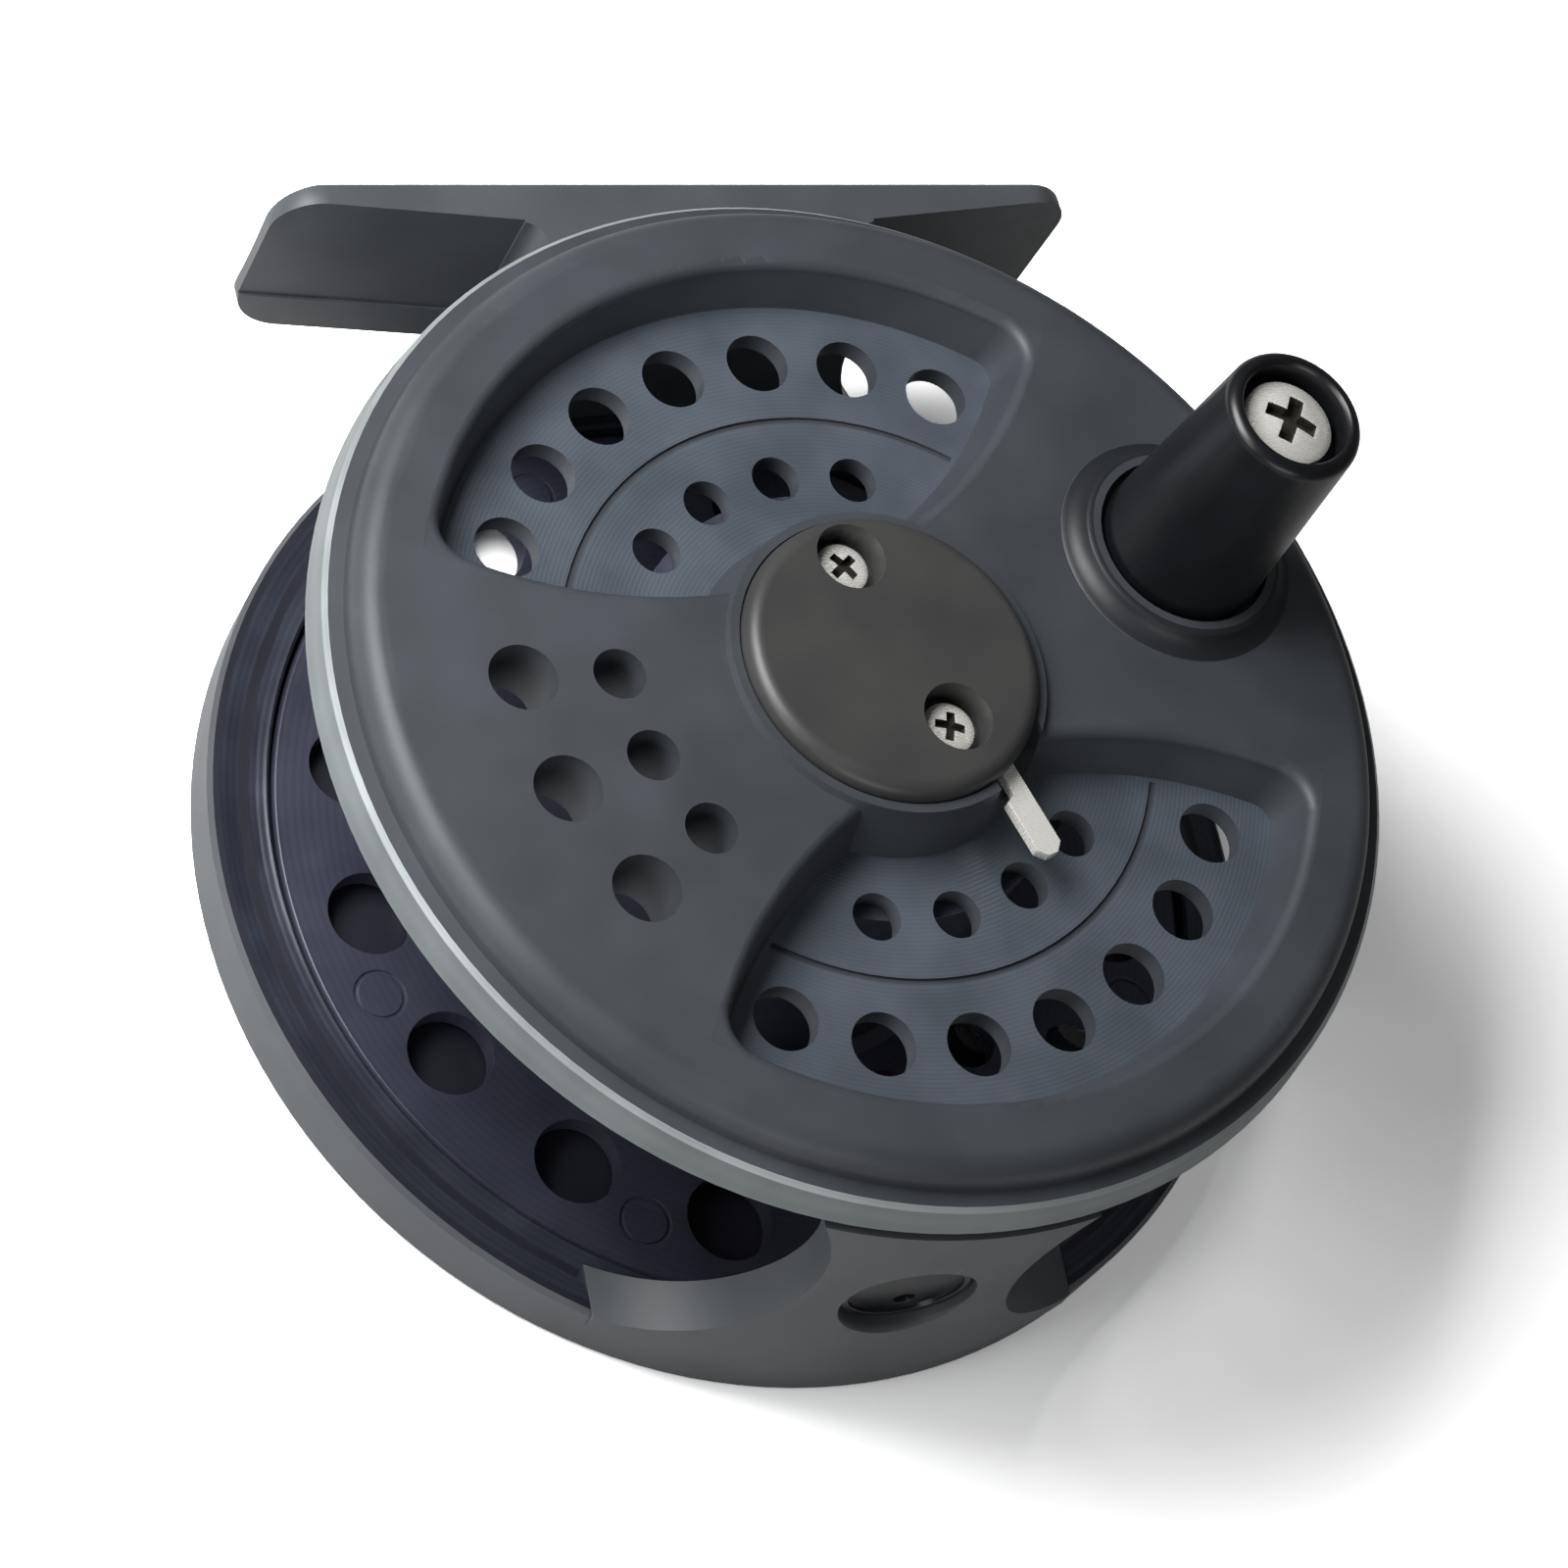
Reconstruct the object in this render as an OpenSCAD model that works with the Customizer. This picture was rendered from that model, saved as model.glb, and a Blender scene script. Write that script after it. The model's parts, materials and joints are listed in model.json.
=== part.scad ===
// Fly reel, 3 1/8 in class: one-piece perforated spool on a caged frame, click-and-pawl check.
// Millimetres. Origin: centre of the back rest face. +Z along the spindle to the handle side,
// +Y towards the reel foot, +X along the foot.

/* [Frame] */
// outer radius of the frame ring
frame_r = 39.75; // [36:0.25:46]
// height of the ring above the rest face
ring_h = 5.15; // [4:0.05:8]
// radial width of the ring
ring_w = 4.4; // [3.5:0.1:6]
// recess of the back web above the rest face
web_lift = 0.8; // [0.6:0.1:1.5]
// thickness of the back web
web_t = 1.6; // [1.4:0.1:2]
// clear width between the two spool flanges
line_gap = 22.05; // [18:0.05:30]

/* [Pillars] */
// direction of the line guard pillar, degrees from +X
guard_angle = -94; // [-105:1:-75]
// radial thickness of both pillars
pillar_t = 3.3; // [2.8:0.1:4]
// half width of the guard at its waist
guard_half_w = 7.6; // [6:0.1:10]
// half width of the foot pillar at its waist
saddle_half_w = 13; // [11:0.5:16]
// radius of the side scallops
scallop_r = 13.7; // [12:0.1:16]
// radius of the hook keeper bore
keeper_r = 4.7; // [3.5:0.1:5.2]

/* [Foot] */
// overall length of the foot
foot_len = 63.4; // [58:0.2:70]
// width of the foot along the spindle
foot_w = 15.1; // [13:0.1:16]
// height of the foot top above the frame ring
foot_rise = 4.05; // [3.5:0.05:7]
// thickness at the tips
foot_tip_t = 1.5; // [1.2:0.1:2.5]
// thickness where the wings meet the block
foot_root_t = 3.2; // [2.6:0.1:3.6]
// length of the block that sits on the pillar
block_len = 25.2; // [22:0.2:30]

/* [Spool] */
// radius of the lip at its front edge
lip_r = 38.65; // [35:0.05:45]
// height of the cylindrical lip band
lip_h = 3.2; // [2.5:0.1:4.5]
// height of the kidney floors above the back of the flange
floor_t = 1.6; // [1.4:0.1:2.2]
// depth of the kidney recesses
kidney_depth = 4.05; // [3:0.05:5]
// outer radius of the kidney floor
kidney_r = 31; // [27:0.1:33]
// radius of the arc that shapes the spokes
eye_r = 34.6; // [33:0.1:37]
// distance of that arc's centre from the spindle
eye_offset = 43.6; // [42:0.1:46]
// radius of the line arbor
arbor_r = 16.5; // [15.6:0.1:19]
// handle direction, degrees from +X
spool_angle = 17; // [-180:1:180]
// radius of the outer hole row
outer_row_r = 26.4; // [24:0.1:28]
// radius of the inner hole row
inner_row_r = 17.1; // [16.4:0.1:18.5]
// hole radius in the outer row
outer_hole_r = 2.3; // [1.5:0.05:2.6]
// hole radius in the inner row
inner_hole_r = 1.75; // [1:0.05:1.9]

/* [Cap and latch] */
// radius of the latch cap
cap_r = 10.76; // [10.5:0.02:11]
// height of the cap above the face
cap_rise = 1.8; // [1.4:0.1:2.4]
// travel of the release lever in degrees
latch_travel = 6; // [4:0.5:6.5]

/* [Handle] */
// distance of the handle from the spindle
handle_at = 26.3; // [24:0.1:28]
// length of the grip
grip_len = 18.4; // [14:0.2:26]
// radius of the grip at the spool
grip_r0 = 6.1; // [5.2:0.1:6.2]
// radius of the grip at its end
grip_r1 = 5.05; // [4.8:0.05:5.4]

/* [Fits] */
// radial clearance of turning fits
run_fit = 0.05; // [0.02:0.01:0.08]
// gap between parts that pass each other
air_gap = 0.3; // [0.25:0.05:0.4]
// spindle radius
spindle_r = 3; // [2.6:0.1:3.4]

/* [Node selection] */
// node to build, or all

/* [Hidden] */
$fn = 96;
eps = 0.01;

ring_in_r = frame_r - ring_w;
web_top = web_lift + web_t;
rear_r = ring_in_r - air_gap;
rear_z = web_top + 0.35;
rear_t = 1.75;
gap_z = rear_z + rear_t;
flange_z = gap_z + line_gap;
floor_z = flange_z + floor_t;
face_z = floor_z + kidney_depth;
lip_z = flange_z + lip_h;
lip_back_r = lip_r + 0.35;

pillar_top = flange_z - 0.35;
seat_z = ring_h - 1.5;
guard_out_r = frame_r + 0.25;
pillar_in_r = guard_out_r - pillar_t - 0.2;
saddle_out_r = frame_r - 0.55;
scallop_z = (ring_h + pillar_top) / 2 + 2.8;

foot_top = frame_r + foot_rise;
foot_z = (ring_h + pillar_top) / 2 + 1.5;

shelf_z = face_z + 0.1;
cap_top = face_z + cap_rise;
rim_z = shelf_z + 0.5;
pocket_z = shelf_z - 1.5;
boss_r0 = cap_r + 1.85;
boss_r1 = cap_r + 0.75;
pocket_r = cap_r - 0.76;
lever_z = pocket_z + 0.35;
lever_t = 0.85;
lever_pivot = [6, 5.6];
lever_eye_r = 1.45;
lever_post_r = 0.8;
cap_screw_at = [[0.9, 7.5], [1.5, -5.8]];
tip_r = spindle_r - 0.5;
hook_r = tip_r - 0.4;

tail_r = 2;
cover_r = 5.2;
cover_t = 0.5;
nut_floor = 2.8;
shoulder_z = web_lift + 3.8;
bush_r = spindle_r + 1.6;
hub_r = bush_r + 2.1;
hub_low = gap_z + 4;
gear_r = hub_r + 1.3;
gear_t = 2.3;
gear_z = hub_low - gear_t;
gear_teeth = 24;
pawl_at_r = gear_r + 3.5;
pawl_angle = 181;
knob_angle = 239;
pawl_z = gear_z + 0.2;
pawl_t = gear_t - 0.5;
heel = 2.55;
leaf_r = pawl_at_r + heel + 0.15;
leaf_t = 0.35;
holder_z = web_top + 0.2;

stud_r = 2;
grip_z = face_z + 0.35;
grip_top = grip_z + grip_len;
head_r = 3.25;
head_z = grip_top - 2.35;

thread_gap = 0.02;
// kinds of screw: [shank radius, head radius, head height]
m2 = [1, 1.9, 1.1];
m25 = [1.25, 2.3, 1.2];
m16 = [0.8, 1.45, 0.8];

module around(n, span, start) {
  for (i = [0:n - 1])
    rotate([0, 0, start + i * span])
      children();
}

module in_spool() {
  rotate([0, 0, spool_angle])
    children();
}

module tube(ro, ri, h) {
  difference() {
    cylinder(h = h, r = ro);
    translate([0, 0, -eps])
      cylinder(h = h + 2 * eps, r = ri);
  }
}

module cross_recess(w, d) {
  for (a = [0, 90])
    rotate([0, 0, a])
      translate([-w / 2, -w * 0.14, -d])
        cube([w, w * 0.28, d + 1]);
}

// pan head screw, underside of the head at z = 0, shank pointing down
module pan_screw(kind, len) {
  difference() {
    union() {
      translate([0, 0, -len])
        cylinder(h = len + eps, r = kind[0]);
      rotate_extrude()
        intersection() {
          square([kind[1], kind[2]]);
          translate([0, kind[2] - 2.6 * kind[1]])
            circle(r = 2.6 * kind[1]);
        }
    }
    translate([0, 0, kind[2] - 0.12])
      cross_recess(kind[1] * 1.15, kind[2] * 0.55);
  }
}

// countersunk screw, head flush with z = 0, shank pointing up
module flat_screw(kind, len) {
  difference() {
    union() {
      cylinder(h = len, r = kind[0]);
      cylinder(h = kind[2], r1 = kind[1], r2 = kind[0]);
    }
    mirror([0, 0, 1])
      cross_recess(kind[1] * 1.15, kind[2] * 0.6);
  }
}

module flat_screw_hole(kind, len) {
  translate([0, 0, -1])
    cylinder(h = len + 1, r = kind[0] + thread_gap);
  translate([0, 0, -1])
    cylinder(h = 1 + eps, r = kind[1] + 0.12);
  cylinder(h = kind[2] + 0.15, r1 = kind[1] + 0.12, r2 = kind[0] + thread_gap);
}

// ---------- frame ----------

module ring_profile() {
  c = 0.35;
  difference() {
    polygon([
      [ring_in_r, 0],
      [frame_r - c, 0],
      [frame_r, c],
      [frame_r, ring_h - c],
      [frame_r - c, ring_h],
      [ring_in_r + 0.25, ring_h],
      [ring_in_r, ring_h - 0.25]
    ]);
    translate([ring_in_r + ring_w * 0.42, ring_h + 5.7])
      circle(r = 5.95);
  }
}

module frame_screw_places() {
  for (a = [guard_angle - 15, guard_angle + 15, 90 - 16, 90 + 16])
    rotate([0, 0, a])
      translate([ring_in_r + ring_w * 0.55, 0, 0])
        children();
}

module frame_plate() {
  color("#4b5054")
  difference() {
    union() {
      rotate_extrude()
        ring_profile();
      translate([0, 0, web_lift])
        cylinder(h = web_t, r = ring_in_r + 0.2);
      tube(ring_in_r + 0.5, ring_in_r - 2.2, web_top);
      cylinder(h = shoulder_z, r = 6.6);
      at_pawl()
        translate([0, 0, web_lift])
          cylinder(h = web_t + 0.9, r = 2.4);
    }
    for (a = [90, -30])
      rotate([0, 0, a]) {
        around(5, 22.5, -45)
          translate([rear_r - 5.75, 0, -1])
            cylinder(h = 5, r = 3);
        around(4, 22.5, -33.75)
          translate([arbor_r + 5.5, 0, -1])
            cylinder(h = 5, r = 2.5);
      }
    translate([0, 0, -1])
      cylinder(h = 8, r = tail_r);
    translate([0, 0, -1])
      cylinder(h = 1 + nut_floor, r = 4.2);
    translate([0, 0, -1])
      cylinder(h = 1 + cover_t, r = cover_r);
    at_pawl()
      translate([0, 0, -1])
        cylinder(h = 8, r = 1.2);
    at_knob()
      translate([0, 0, -1]) {
        cylinder(h = 6, r = 1.6 + run_fit);
        cylinder(h = 1 + web_lift + 0.1, r = 4.6);
      }
    frame_screw_places()
      flat_screw_hole(m16, 9);
    pillar_seats(0.02);
  }
}

// shallow rebates that locate the pillar feet on the ring
module pillar_seats(extra) {
  intersection() {
    rotate([0, 0, guard_angle])
      translate([0, -18.1 - extra, seat_z])
        cube([frame_r + 5, 36.2 + 2 * extra, 4]);
    tube(frame_r + 5, pillar_in_r - extra, 20);
  }
  intersection() {
    translate([-18.6 - extra, 0, seat_z])
      cube([37.2 + 2 * extra, frame_r + 5, 4]);
    tube(frame_r + 5, pillar_in_r - extra, 20);
  }
}

// pair of round cutters that give a pillar its waist, pillar pointing along +X
module scallops(half_w) {
  for (s = [-1, 1])
    translate([0, s * (half_w + scallop_r), scallop_z])
      rotate([0, 90, 0])
        cylinder(h = frame_r + 10, r = scallop_r);
}

module guard_pillar() {
  rotate_len = frame_r + 6;
  color("#4b5054")
  difference() {
    intersection() {
      difference() {
        translate([0, 0, seat_z])
          cylinder(h = pillar_top - seat_z, r1 = guard_out_r, r2 = guard_out_r - 0.8);
        cylinder(h = pillar_top + 1, r = pillar_in_r);
      }
      rotate([0, 0, guard_angle])
        translate([0, -18.1, 0])
          cube([rotate_len, 36.2, pillar_top + 2]);
    }
    rotate([0, 0, guard_angle]) {
      scallops(guard_half_w);
      translate([0, 0, keeper_z()])
        rotate([0, 90, 0]) {
          cylinder(h = rotate_len, r = keeper_r - 1);
          translate([0, 0, pillar_in_r + 1.3])
            cylinder(h = 10, r = keeper_r);
          translate([0, 0, guard_out_r - 0.85])
            cylinder(h = 1.2, r1 = keeper_r, r2 = keeper_r + 0.6);
        }
    }
    frame_screw_places()
      translate([0, 0, seat_z - 1])
        cylinder(h = 6.2, r = m16[0] + thread_gap);
  }
}

function keeper_z() = scallop_z - 2.6;

module hook_keeper() {
  color("#8d9092")
  rotate([0, 0, guard_angle])
    translate([pillar_in_r + 0.4, 0, keeper_z()])
      rotate([0, 90, 0])
        difference() {
          union() {
            cylinder(h = 1.2, r = keeper_r - 1);
            translate([0, 0, 0.9])
              cylinder(h = 0.9, r1 = keeper_r, r2 = keeper_r - 0.25);
          }
          translate([0, 0, 1.45])
            cylinder(h = 1, r = keeper_r - 0.75);
          translate([2.3, 0.9, -1])
            cylinder(h = 5, r = 0.75);
        }
}

module foot_pillar() {
  color("#4b5054")
  difference() {
    intersection() {
      translate([0, 0, seat_z])
        tube(saddle_out_r, pillar_in_r, pillar_top - seat_z);
      translate([-18.6, 0, 0])
        cube([37.2, frame_r + 6, pillar_top + 2]);
    }
    rotate([0, 0, 90])
      scallops(saddle_half_w);
    foot_screw_places()
      flat_screw_hole(m25, 8);
    frame_screw_places()
      translate([0, 0, seat_z - 1])
        cylinder(h = 6.2, r = m16[0] + thread_gap);
  }
}

module foot_screw_places() {
  for (s = [-1, 1])
    translate([s * 7, sqrt(pow(pillar_in_r, 2) - 49) + 0.35, foot_z])
      rotate([-90, 0, 0])
        children();
}

module frame_screws() {
  color("#b9bcbe")
  frame_screw_places()
    translate([0, 0, 0.05])
      flat_screw(m16, 8);
}

module foot_screws() {
  color("#b9bcbe")
  foot_screw_places()
    flat_screw(m25, 5.8);
}

// ---------- foot ----------

module foot_side() {
  half = foot_len / 2;
  root = block_len / 2;
  fillet = 1.6;
  low = foot_top - foot_root_t;
  for (s = [0, 1])
    mirror([s, 0])
      difference() {
        polygon([
          [0, foot_top],
          [half, foot_top],
          [half, foot_top - foot_tip_t],
          [root + fillet, low],
          [root, low - fillet],
          [root, 30],
          [0, 30]
        ]);
        translate([root + fillet, low - fillet])
          circle(r = fillet);
      }
}

// rounded plan outline of the foot, extruded along +Z
module foot_plan(h, inset) {
  r = 3.6;
  l = foot_len / 2 - inset;
  w = foot_w / 2 - inset;
  union() {
    translate([-l + r, -w, 0])
      cube([2 * (l - r), 2 * w, h]);
    translate([-l, -w + r, 0])
      cube([2 * l, 2 * (w - r), h]);
    for (sx = [-1, 1], sy = [-1, 1])
      translate([sx * (l - r), sy * (w - r), 0])
        cylinder(h = h, r = r);
  }
}

module reel_foot() {
  land = 3.4;
  saddle = 70;
  color("#4b5054")
  difference() {
    intersection() {
      translate([0, 0, foot_z - foot_w / 2])
        linear_extrude(height = foot_w)
          foot_side();
      translate([0, foot_top + 1, foot_z])
        rotate([90, 0, 0])
          foot_plan(20, 0);
    }
    cylinder(h = 60, r = saddle_out_r);
    translate([-foot_len, foot_top - 0.4 + saddle, foot_z])
      rotate([0, 90, 0])
        cylinder(h = 2 * foot_len, r = saddle, $fn = 180);
    for (s = [0, 1])
      mirror([s, 0, 0])
        wing_relief(land);
    foot_screw_places()
      cylinder(h = 6, r = m25[0] + thread_gap);
  }
}

// shallow relief under a wing: leaves a land along the rear edge
module wing_relief(land) {
  drop = foot_root_t - foot_tip_t;
  run = foot_len / 2 - block_len / 2 - 1.6;
  tilt = atan(drop / run);
  translate([foot_len / 2, foot_top - foot_tip_t, 0])
    rotate([0, 0, tilt])
      translate([-run - 0.4, -3, foot_z - foot_w / 2 + land])
        cube([run + 3, 3.22, foot_w]);
}

// ---------- spindle ----------

module spindle() {
  thrust_z = gear_z - 0.1;
  top = shelf_z + 0.65;
  color("#c4c7c9")
  rotate_extrude()
    polygon([
      [0, cover_t + 0.15],
      [tail_r, cover_t + 0.15],
      [tail_r, shoulder_z],
      [4.4, shoulder_z],
      [4.4, thrust_z - 0.3],
      [4.1, thrust_z],
      [spindle_r, thrust_z],
      [spindle_r, pocket_z - 0.6],
      [tip_r, pocket_z - 0.1],
      [tip_r, lever_z - 0.1],
      [hook_r - 0.1, lever_z - 0.1],
      [hook_r - 0.1, lever_z + lever_t + 0.1],
      [tip_r, lever_z + lever_t + 0.1],
      [tip_r, top - 0.5],
      [tip_r - 0.8, top],
      [0, top]
    ]);
}

module spindle_washer() {
  color("#b4b7b9")
  translate([0, 0, nut_floor - 0.5])
    tube(3.9, tail_r, 0.5);
}

module spindle_nut() {
  h = nut_floor - 0.5 - cover_t - 0.1;
  color("#b4b7b9")
  translate([0, 0, cover_t + 0.1])
    difference() {
      intersection() {
        cylinder(h = h, r = 3.4, $fn = 6);
        cylinder(h = h, r1 = 3.1, r2 = 4.6);
      }
      translate([0, 0, -1])
        cylinder(h = 5, r = tail_r);
    }
}

module nut_cover() {
  color("#3a3d40")
  cylinder(h = cover_t, r = cover_r);
}

// ---------- click check ----------

module at_pawl() {
  rotate([0, 0, pawl_angle])
    translate([pawl_at_r, 0, 0])
      children();
}

module at_knob() {
  rotate([0, 0, knob_angle])
    translate([pawl_at_r, 0, 0])
      children();
}

module pawl_post() {
  head_low = pawl_z + pawl_t + 0.12;
  color("#c4c7c9")
  at_pawl() {
    translate([0, 0, web_lift])
      cylinder(h = head_low - web_lift + 0.1, r = 1.2);
    translate([0, 0, web_top + 0.9])
      cylinder(h = pawl_z - web_top - 0.95, r = 1.7);
    translate([0, 0, head_low])
      cylinder(h = 0.5, r1 = 1.9, r2 = 1.6);
  }
}

// double-acting pawl: the nose sits between two gear teeth, the flat heel meets the spring
module click_pawl() {
  reach = pawl_at_r - gear_r + 0.28;
  color("#9da1a4")
  at_pawl()
    translate([0, 0, pawl_z])
      difference() {
        union() {
          cylinder(h = pawl_t, r = 2.2);
          linear_extrude(height = pawl_t)
            polygon([
              [-reach, -0.08], [-reach, 0.08],
              [-reach + 0.45, 0.4], [-0.9, 2],
              [-0.9, -2], [-reach + 0.45, -0.4]
            ]);
          translate([0, -1.7, 0])
            cube([heel, 3.4, pawl_t]);
        }
        translate([0, 0, -1])
          cylinder(h = pawl_t + 2, r = 1.2 + run_fit);
      }
}

// bow leaf: its inward tab is clamped in the slotted holder, its free end rests on the heel
module pawl_spring() {
  start = pawl_angle - 8;
  color("#c9ccce")
  translate([0, 0, pawl_z + 0.15]) {
    rotate([0, 0, start])
      rotate_extrude(angle = knob_angle - start)
        translate([leaf_r, 0])
          square([leaf_t, 1.5]);
    at_knob()
      translate([1, -leaf_t / 2, 0])
        cube([leaf_r + leaf_t - pawl_at_r - 1.03, leaf_t, 1.5]);
  }
}

// coin-slot adjuster reached from the back
module click_knob() {
  head = web_lift - 0.12;
  color("#6b6f72")
  at_knob()
    difference() {
      union() {
        translate([0, 0, 0.1])
          rotate_extrude()
            polygon([[0, 0], [3.9, 0], [4.3, 0.35], [4.3, head], [0, head]]);
        translate([0, 0, 0.2])
          cylinder(h = holder_z - 0.2, r = 1.6);
      }
      translate([-3.2, -0.45, -1])
        cube([6.4, 0.9, 1.5]);
      translate([0, 0, 1.2])
        cylinder(h = 5, r = 0.78);
    }
}

module spring_holder() {
  h = pawl_z + 1.65 - holder_z;
  color("#b08a4a")
  at_knob()
    translate([0, 0, holder_z])
      difference() {
        cylinder(h = h, r = 2.1);
        translate([0, 0, -1])
          cylinder(h = h + 2, r = 0.8);
        translate([0.9, -leaf_t / 2 - 0.01, pawl_z + 0.13 - holder_z])
          cube([3, leaf_t + 0.02, 4]);
      }
}

module holder_screw() {
  head_z = pawl_z + 1.65;
  color("#b9bcbe")
  at_knob()
    translate([0, 0, head_z])
      pan_screw([0.78, 1.45, 0.6], head_z - 1.4);
}

// ---------- spool ----------

// solid of revolution of the front flange, without pockets
module face_profile() {
  shoulder = 2;
  wall_r = lip_r - 1.45;
  difference() {
    polygon([
      [0, flange_z],
      [lip_back_r - 0.3, flange_z],
      [lip_back_r, flange_z + 0.3],
      [lip_r, lip_z - 0.35],
      [lip_r - 0.35, lip_z],
      [wall_r + 0.1, lip_z + 0.1],
      [wall_r, face_z - shoulder],
      [wall_r, face_z],
      [0, face_z]
    ]);
    difference() {
      translate([wall_r - shoulder, face_z - shoulder])
        square([shoulder + 1, shoulder + 1]);
      translate([wall_r - shoulder, face_z - shoulder])
        circle(r = shoulder);
    }
  }
}

// cutter with a drafted wall and a rounded upper edge, standing on z = 0
module soft_cutter(r0, draft, h, edge) {
  r1 = r0 + draft;
  rotate_extrude()
    difference() {
      polygon([
        [0, 0],
        [r0, 0],
        [r1, h - edge],
        [r1 + edge, h],
        [r1 + edge, h + 2],
        [0, h + 2]
      ]);
      translate([r1 + edge, h - edge])
        circle(r = edge);
    }
}

module kidney_pockets() {
  for (s = [0, 180])
    rotate([0, 0, s])
      translate([0, 0, floor_z])
        intersection() {
          soft_cutter(kidney_r, 0.9, kidney_depth, 0.9);
          translate([0, eye_offset, 0])
            soft_cutter(eye_r, 0.9, kidney_depth, 0.9);
        }
}

// turned groove in the kidney floors, from spoke to spoke
module floor_groove() {
  r = 21.45;
  w = 0.45;
  c = (pow(r, 2) + pow(eye_offset, 2) - pow(eye_r, 2)) / (2 * r * eye_offset);
  half = acos(c) - 0.8;
  for (s = [90, -90])
    rotate([0, 0, s - half])
      translate([0, 0, floor_z - 0.22])
        rotate_extrude(angle = 2 * half)
          translate([r, 0])
            square([w, 0.5]);
}

module kidney_holes() {
  for (s = [90, -90])
    rotate([0, 0, s]) {
      around(7, 15, -45)
        translate([outer_row_r, 0, flange_z - 1])
          cylinder(h = 12, r = outer_hole_r);
      around(4, 20, -30)
        translate([inner_row_r, 0, flange_z - 1])
          cylinder(h = 12, r = inner_hole_r);
    }
}

module spoke_holes() {
  rotate([0, 0, 180]) {
    around(3, 18, -18)
      translate([outer_row_r, 0, flange_z - 1])
        cylinder(h = 12, r = 2.4);
    around(3, 18, -18)
      translate([arbor_r + 3.1, 0, flange_z - 1])
        cylinder(h = 12, r = 1.85);
  }
}

module handle_boss() {
  translate([handle_at, 0, face_z - eps])
    rotate_extrude()
      difference() {
        polygon([[0, 0], [8.9, 0], [7.5, 1.3], [7.1, 1.5], [0, 1.5]]);
        translate([9.3, 1.9])
          circle(r = 1.9);
      }
}

module spool_face() {
  color("#4a4f52")
  in_spool()
    difference() {
      union() {
        difference() {
          rotate_extrude()
            face_profile();
          kidney_pockets();
          floor_groove();
        }
        translate([0, 0, floor_z - 0.8])
          cylinder(h = rim_z - floor_z + 0.8, r1 = boss_r0 + 0.15, r2 = boss_r1);
        handle_boss();
        translate([0, 0, hub_low])
          cylinder(h = flange_z - hub_low + 1, r = hub_r);
      }
      kidney_holes();
      spoke_holes();
      // latch pocket, cap shelf and lever notch
      translate([0, 0, pocket_z])
        cylinder(h = 5, r = pocket_r);
      translate([0, 0, shelf_z])
        cylinder(h = 5, r = cap_r + 0.12);
      translate([2.2, -14, lever_z - 0.3])
        cube([5.5, 9, 4]);
      // bush, handle cup and stud seat
      translate([0, 0, hub_low - 1])
        cylinder(h = 40, r = bush_r);
      translate([handle_at, 0, face_z + 0.05])
        cylinder(h = 4, r = grip_r0 + 0.4);
      translate([handle_at, 0, flange_z - 1])
        cylinder(h = 12, r = stud_r + 0.6);
      translate([handle_at, 0, flange_z - eps])
        cylinder(h = 1.4, r = 4.2);
      translate([lever_pivot[0], lever_pivot[1], pocket_z - 2.2])
        cylinder(h = 4, r = lever_post_r);
      for (p = cap_screw_at)
        translate([p[0], p[1], pocket_z - 3.2])
          cylinder(h = 5, r = m2[0] + thread_gap);
      drum_screw_places()
        translate([0, 0, -0.5])
          cylinder(h = 2.4, r = m2[0] + thread_gap);
    }
}

module drum_screw_places() {
  around(3, 120, 0)
    translate([11.4, 0, flange_z])
      children();
}

module spool_drum() {
  cup = 1.8;
  color("#33363e")
  in_spool()
    difference() {
      union() {
        rotate_extrude()
          polygon([
            [arbor_r - 1.5, rear_z],
            [rear_r - 0.3, rear_z],
            [rear_r, rear_z + 0.3],
            [rear_r, gap_z - 0.3],
            [rear_r - 0.3, gap_z],
            [arbor_r + 1, gap_z],
            [arbor_r, gap_z + 1],
            [arbor_r, flange_z],
            [hub_r + 1.2, flange_z],
            [hub_r + 1.2, flange_z - cup],
            [arbor_r - 1.5, flange_z - cup]
          ]);
      }
      around(16, 22.5, 11.25)
        translate([rear_r - 5.75, 0, 0])
          cylinder(h = gap_z + 2, r = 3.1);
      around(16, 22.5, 0)
        translate([arbor_r + 4.9, 0, 0])
          cylinder(h = gap_z + 0.5, r = 2.2);
      around(8, 45, 0)
        translate([rear_r - 3.8, 0, gap_z - 0.15])
          tube(1.9, 1.6, 1);
      drum_screw_places()
        translate([0, 0, -4])
          cylinder(h = 5, r = m2[0] + 0.1);
    }
}

module drum_screws() {
  color("#b9bcbe")
  in_spool()
    drum_screw_places()
      translate([0, 0, -1.8])
        mirror([0, 0, 1])
          pan_screw(m2, 3.5);
}

module spool_bush() {
  color("#b08a4a")
  translate([0, 0, gear_z])
    tube(bush_r, spindle_r + run_fit, pocket_z - gear_z);
}

// ratchet wheel pressed on the bush, turned so that a gap faces the pawl
module click_gear() {
  root = gear_r - 0.95;
  color("#b08a4a")
  rotate([0, 0, pawl_angle])
    translate([0, 0, gear_z])
      difference() {
        union() {
          cylinder(h = gear_t, r = root);
          around(gear_teeth, 360 / gear_teeth, 180 / gear_teeth)
            linear_extrude(height = gear_t)
              polygon([
                [root - 0.4, -0.82],
                [gear_r - 0.02, -0.22],
                [gear_r - 0.02, 0.22],
                [root - 0.4, 0.82]
              ]);
        }
        translate([0, 0, -1])
          cylinder(h = gear_t + 2, r = bush_r);
      }
}

// ---------- latch ----------

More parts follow.
